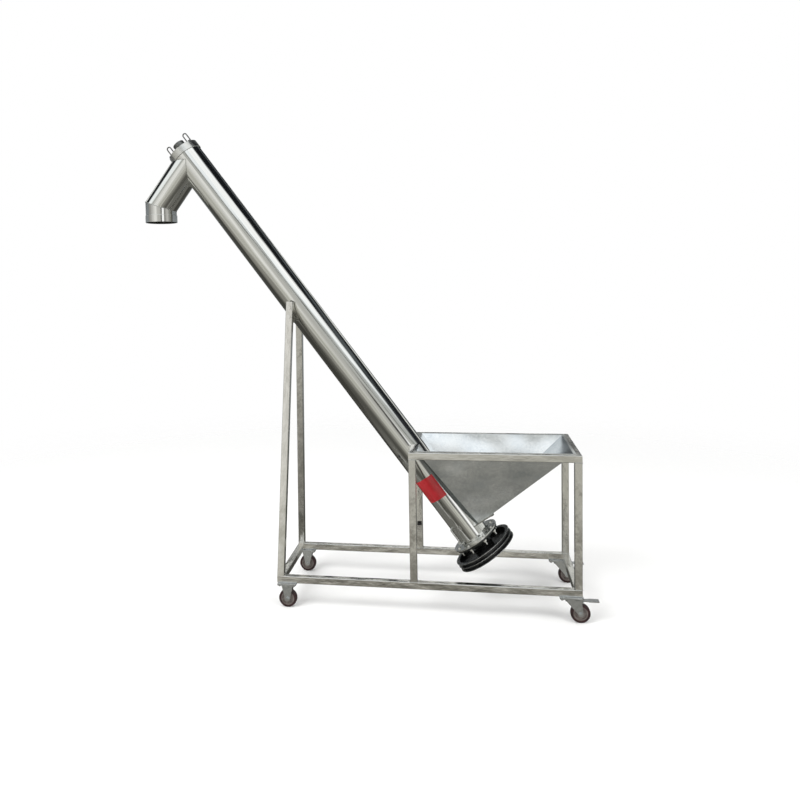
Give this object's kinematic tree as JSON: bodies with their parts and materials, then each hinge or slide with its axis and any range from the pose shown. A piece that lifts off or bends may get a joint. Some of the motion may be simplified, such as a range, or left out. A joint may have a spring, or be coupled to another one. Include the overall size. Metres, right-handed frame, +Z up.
{
  "type": "grain auger",
  "caption": "Inclined screw conveyor for grain on a wheeled square-tube frame, with a feed hopper, a discharge spout, a clean-out door and a belt pulley.",
  "frame": {"origin": "on the floor, under the middle of the machine's outline", "axes": "+Z up; +X from the discharge end towards the hopper end, along the frame; +Y from the front of the machine to its back"},
  "size_m": [2.5314, 0.612, 2.6918],
  "materials": {
    "brushed_stainless": "brushed square tube, semi-bright",
    "polished_stainless": "polished",
    "satin_stainless": "satin",
    "hopper_sheet": "satin sheet with a faint spangle",
    "pulley_paint": "black enamel",
    "housing_paint": "black enamel",
    "tread_polyurethane": "moulded, dark maroon",
    "hub_nylon": "moulded",
    "label_film": "plain red film",
    "knob_phenolic": "moulded black",
    "screw_steel": "bare",
    "bright_fasteners": "bright",
    "zinc_plated_steel": "zinc plated"
  },
  "bodies": {
    "stand": {"base_rail_front": "brushed_stainless", "base_rail_left": "brushed_stainless", "base_rail_rear": "brushed_stainless", "base_rail_right": "brushed_stainless", "caster_pads": "zinc_plated_steel", "caster_studs": "zinc_plated_steel", "discharge_branch": "polished_stainless", "discharge_spout": "polished_stainless", "door_hinge": "satin_stainless", "end_plate_bolts": "bright_fasteners", "flange_studs": "bright_fasteners", "hopper": "hopper_sheet", "hopper_outlet_plate": "satin_stainless", "label": "label_film", "leg_bolts": "bright_fasteners", "leg_brackets": "brushed_stainless", "lifting_eyes": "bright_fasteners", "lower_bearing": "housing_paint", "lower_flange": "satin_stainless", "outlet_knobs": "knob_phenolic", "post_front_left": "brushed_stainless", "post_front_right": "brushed_stainless", "post_rear_left": "brushed_stainless", "post_rear_right": "brushed_stainless", "rigid_axles": "zinc_plated_steel", "rigid_fork_front": "zinc_plated_steel", "rigid_fork_rear": "zinc_plated_steel", "screw_barrel": "polished_stainless", "support_leg_front": "brushed_stainless", "support_leg_rear": "brushed_stainless", "swivel_plate_front": "zinc_plated_steel", "swivel_plate_rear": "zinc_plated_steel", "top_bearing": "satin_stainless", "top_collar": "satin_stainless", "top_end_plate": "satin_stainless", "top_rail_front": "brushed_stainless", "top_rail_rear": "brushed_stainless", "top_rail_right": "brushed_stainless", "top_rail_stubs": "brushed_stainless"},
    "screw": {"screw_shaft": "screw_steel", "screw_flight": "screw_steel", "drive_pulley": "pulley_paint", "taper_bush": "screw_steel"},
    "door": {"clean_out_door": "polished_stainless", "door_handle": "satin_stainless", "door_catch": "satin_stainless"},
    "wheel_front_left": {"wheel_hub_front_left": "hub_nylon", "wheel_tread_front_left": "tread_polyurethane"},
    "wheel_front_right": {"wheel_hub_front_right": "hub_nylon", "wheel_tread_front_right": "tread_polyurethane"},
    "swivel_front": {"swivel_fork_front": "zinc_plated_steel", "swivel_axle_front": "zinc_plated_steel"},
    "pedal_front": {"brake_pedal_front": "zinc_plated_steel"},
    "wheel_rear_left": {"wheel_hub_rear_left": "hub_nylon", "wheel_tread_rear_left": "tread_polyurethane"},
    "wheel_rear_right": {"wheel_hub_rear_right": "hub_nylon", "wheel_tread_rear_right": "tread_polyurethane"},
    "swivel_rear": {"swivel_fork_rear": "zinc_plated_steel", "swivel_axle_rear": "zinc_plated_steel"},
    "pedal_rear": {"brake_pedal_rear": "zinc_plated_steel"}
  },
  "joints": [
    {"name": "screw_turn", "type": "hinge", "parent": "stand", "child": "screw", "pos_m": [0.64265, 0, 0.347], "axis": [-0.5962, 0, 0.8028], "continuous": true},
    {"name": "door_swing", "type": "hinge", "parent": "stand", "child": "door", "pos_m": [0.50275, 0.07556, 0.43742], "axis": [0.5962, 0, -0.8028], "range_deg": [0, 95]},
    {"name": "wheel_front_left_roll", "type": "hinge", "parent": "stand", "child": "wheel_front_left", "pos_m": [-0.39135, -0.266, 0.05], "axis": [0, 1, 0], "continuous": true},
    {"name": "swivel_front_turn", "type": "hinge", "parent": "stand", "child": "swivel_front", "pos_m": [1.12665, -0.266, 0.11], "axis": [0, 0, 1], "continuous": true},
    {"name": "wheel_front_right_roll", "type": "hinge", "parent": "swivel_front", "child": "wheel_front_right", "pos_m": [1.17265, -0.266, 0.05], "axis": [0, 1, 0], "continuous": true},
    {"name": "pedal_front_press", "type": "hinge", "parent": "swivel_front", "child": "pedal_front", "pos_m": [1.16465, -0.266, 0.108], "axis": [0, 1, 0], "range_deg": [0, 12]},
    {"name": "wheel_rear_left_roll", "type": "hinge", "parent": "stand", "child": "wheel_rear_left", "pos_m": [-0.39135, 0.266, 0.05], "axis": [0, 1, 0], "continuous": true},
    {"name": "swivel_rear_turn", "type": "hinge", "parent": "stand", "child": "swivel_rear", "pos_m": [1.12665, 0.266, 0.11], "axis": [0, 0, 1], "continuous": true},
    {"name": "wheel_rear_right_roll", "type": "hinge", "parent": "swivel_rear", "child": "wheel_rear_right", "pos_m": [1.17265, 0.266, 0.05], "axis": [0, 1, 0], "continuous": true},
    {"name": "pedal_rear_press", "type": "hinge", "parent": "swivel_rear", "child": "pedal_rear", "pos_m": [1.16465, 0.266, 0.108], "axis": [0, 1, 0], "range_deg": [0, 12]}
  ]
}
